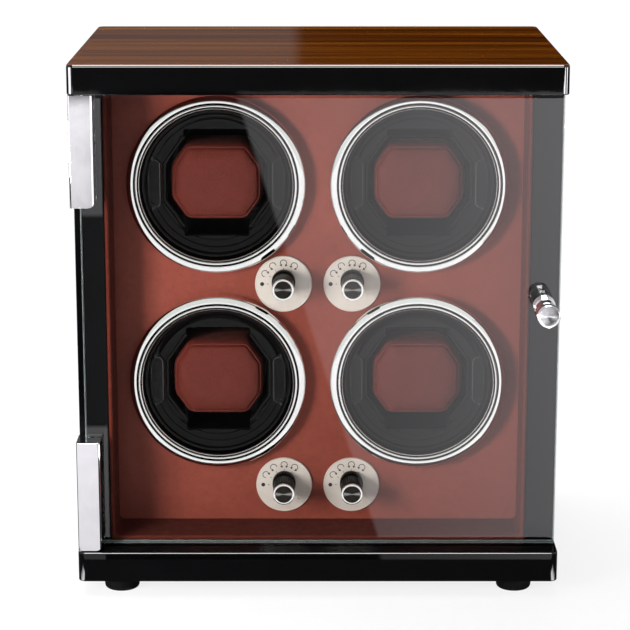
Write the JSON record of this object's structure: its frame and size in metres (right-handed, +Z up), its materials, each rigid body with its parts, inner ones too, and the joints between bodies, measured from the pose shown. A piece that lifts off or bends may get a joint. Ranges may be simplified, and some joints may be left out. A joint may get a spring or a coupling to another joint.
{
  "type": "watch winder box",
  "caption": "Watch winder box: black lacquer cabinet, veneered top, pivot-hung glass door, belt-driven rotor cups with cushions and selector knobs.",
  "frame": {"origin": "on the standing surface, under the middle of the object's overall box", "axes": "+Z up, -Y out of the glass door, +X to the right of someone who faces the door"},
  "size_m": [0.27, 0.205, 0.3],
  "materials": {
    "black_lacquer": "high gloss black piano lacquer",
    "wood_veneer": "striped walnut veneer under clear gloss lacquer",
    "brown_leather": "fine-grained red-brown leatherette",
    "cushion_leather": "soft red-brown leatherette",
    "chrome": "mirror polished",
    "black_gloss_plastic": "high gloss moulded plastic",
    "knob_black": "black with ribbed side and turned face",
    "dial_plate": "champagne brushed plate",
    "rubber": "matte moulded rubber",
    "belt_rubber": "smooth drive belt",
    "steel": "machined",
    "bronze_bush": "sintered bronze",
    "mdf": "black stained fibreboard",
    "circuit_board": "green solder mask",
    "black_plastic": "satin moulded plastic",
    "door_glass": "clear polished float glass"
  },
  "bodies": {
    "cabinet": {"base_plinth": "black_lacquer", "top_board": "black_lacquer", "side_panel_left": "black_lacquer", "side_panel_right": "black_lacquer", "top_veneer": "wood_veneer", "recess_liner": "brown_leather", "rotor_panel": "brown_leather", "back_panel": "mdf", "motor_board": "mdf", "power_socket": "black_plastic", "foot_front_left": "rubber", "foot_front_right": "rubber", "foot_back_left": "rubber", "foot_back_right": "rubber", "magnet_catch": "steel", "bezel_ring_upper_left": "chrome", "shaft_bush_upper_left": "bronze_bush", "gear_motor_upper_left": "steel", "drive_belt_upper_left": "belt_rubber", "dial_plate_upper_left": "dial_plate", "bezel_ring_upper_right": "chrome", "shaft_bush_upper_right": "bronze_bush", "gear_motor_upper_right": "steel", "drive_belt_upper_right": "belt_rubber", "dial_plate_upper_right": "dial_plate", "bezel_ring_lower_left": "chrome", "shaft_bush_lower_left": "bronze_bush", "gear_motor_lower_left": "steel", "drive_belt_lower_left": "belt_rubber", "dial_plate_lower_left": "dial_plate", "bezel_ring_lower_right": "chrome", "shaft_bush_lower_right": "bronze_bush", "gear_motor_lower_right": "steel", "drive_belt_lower_right": "belt_rubber", "dial_plate_lower_right": "dial_plate", "switch_board_upper": "circuit_board", "switch_board_lower": "circuit_board"},
    "door": {"door_glass": "door_glass", "hinge_clamp_top": "chrome", "hinge_clamp_bottom": "chrome", "hinge_pin_top": "steel", "hinge_pin_bottom": "steel", "door_knob": "chrome", "knob_screw": "steel"},
    "rotor_upper_left": {"rotor_cup_upper_left": "black_gloss_plastic", "watch_cushion_upper_left": "cushion_leather"},
    "pulley_upper_left": {"motor_pulley_upper_left": "black_plastic"},
    "selector_upper_left": {"selector_knob_upper_left": "knob_black"},
    "rotor_upper_right": {"rotor_cup_upper_right": "black_gloss_plastic", "watch_cushion_upper_right": "cushion_leather"},
    "pulley_upper_right": {"motor_pulley_upper_right": "black_plastic"},
    "selector_upper_right": {"selector_knob_upper_right": "knob_black"},
    "rotor_lower_left": {"rotor_cup_lower_left": "black_gloss_plastic", "watch_cushion_lower_left": "cushion_leather"},
    "pulley_lower_left": {"motor_pulley_lower_left": "black_plastic"},
    "selector_lower_left": {"selector_knob_lower_left": "knob_black"},
    "rotor_lower_right": {"rotor_cup_lower_right": "black_gloss_plastic", "watch_cushion_lower_right": "cushion_leather"},
    "pulley_lower_right": {"motor_pulley_lower_right": "black_plastic"},
    "selector_lower_right": {"selector_knob_lower_right": "knob_black"}
  },
  "joints": [
    {"name": "door_swing", "type": "hinge", "parent": "cabinet", "child": "door", "pos_m": [-0.129, -0.0795, 0.154], "axis": [0, 0, -1], "range_deg": [0, 110]},
    {"name": "rotor_spin_upper_left", "type": "hinge", "parent": "cabinet", "child": "rotor_upper_left", "pos_m": [-0.0572, -0.0375, 0.2264], "axis": [0, 1, 0], "continuous": true},
    {"name": "pulley_spin_upper_left", "type": "hinge", "parent": "cabinet", "child": "pulley_upper_left", "pos_m": [-0.015, 0.0275, 0.2264], "axis": [0, 1, 0], "continuous": true},
    {"name": "selector_turn_upper_left", "type": "hinge", "parent": "cabinet", "child": "selector_upper_left", "pos_m": [-0.0195, -0.0375, 0.1704], "axis": [0, 1, 0], "range_deg": [0, 180]},
    {"name": "rotor_spin_upper_right", "type": "hinge", "parent": "cabinet", "child": "rotor_upper_right", "pos_m": [0.0572, -0.0375, 0.2264], "axis": [0, 1, 0], "continuous": true},
    {"name": "pulley_spin_upper_right", "type": "hinge", "parent": "cabinet", "child": "pulley_upper_right", "pos_m": [0.015, 0.0275, 0.2264], "axis": [0, 1, 0], "continuous": true},
    {"name": "selector_turn_upper_right", "type": "hinge", "parent": "cabinet", "child": "selector_upper_right", "pos_m": [0.0195, -0.0375, 0.1704], "axis": [0, 1, 0], "range_deg": [0, 180]},
    {"name": "rotor_spin_lower_left", "type": "hinge", "parent": "cabinet", "child": "rotor_lower_left", "pos_m": [-0.0572, -0.0375, 0.1118], "axis": [0, 1, 0], "continuous": true},
    {"name": "pulley_spin_lower_left", "type": "hinge", "parent": "cabinet", "child": "pulley_lower_left", "pos_m": [-0.015, 0.0275, 0.1118], "axis": [0, 1, 0], "continuous": true},
    {"name": "selector_turn_lower_left", "type": "hinge", "parent": "cabinet", "child": "selector_lower_left", "pos_m": [-0.0195, -0.0375, 0.0508], "axis": [0, 1, 0], "range_deg": [0, 180]},
    {"name": "rotor_spin_lower_right", "type": "hinge", "parent": "cabinet", "child": "rotor_lower_right", "pos_m": [0.0572, -0.0375, 0.1118], "axis": [0, 1, 0], "continuous": true},
    {"name": "pulley_spin_lower_right", "type": "hinge", "parent": "cabinet", "child": "pulley_lower_right", "pos_m": [0.015, 0.0275, 0.1118], "axis": [0, 1, 0], "continuous": true},
    {"name": "selector_turn_lower_right", "type": "hinge", "parent": "cabinet", "child": "selector_lower_right", "pos_m": [0.0195, -0.0375, 0.0508], "axis": [0, 1, 0], "range_deg": [0, 180]}
  ],
  "couplings": [
    {"joint": "pulley_spin_upper_left", "follows": "rotor_spin_upper_left", "ratio": 2.75},
    {"joint": "pulley_spin_upper_right", "follows": "rotor_spin_upper_right", "ratio": 2.75},
    {"joint": "pulley_spin_lower_left", "follows": "rotor_spin_lower_left", "ratio": 2.75},
    {"joint": "pulley_spin_lower_right", "follows": "rotor_spin_lower_right", "ratio": 2.75}
  ]
}
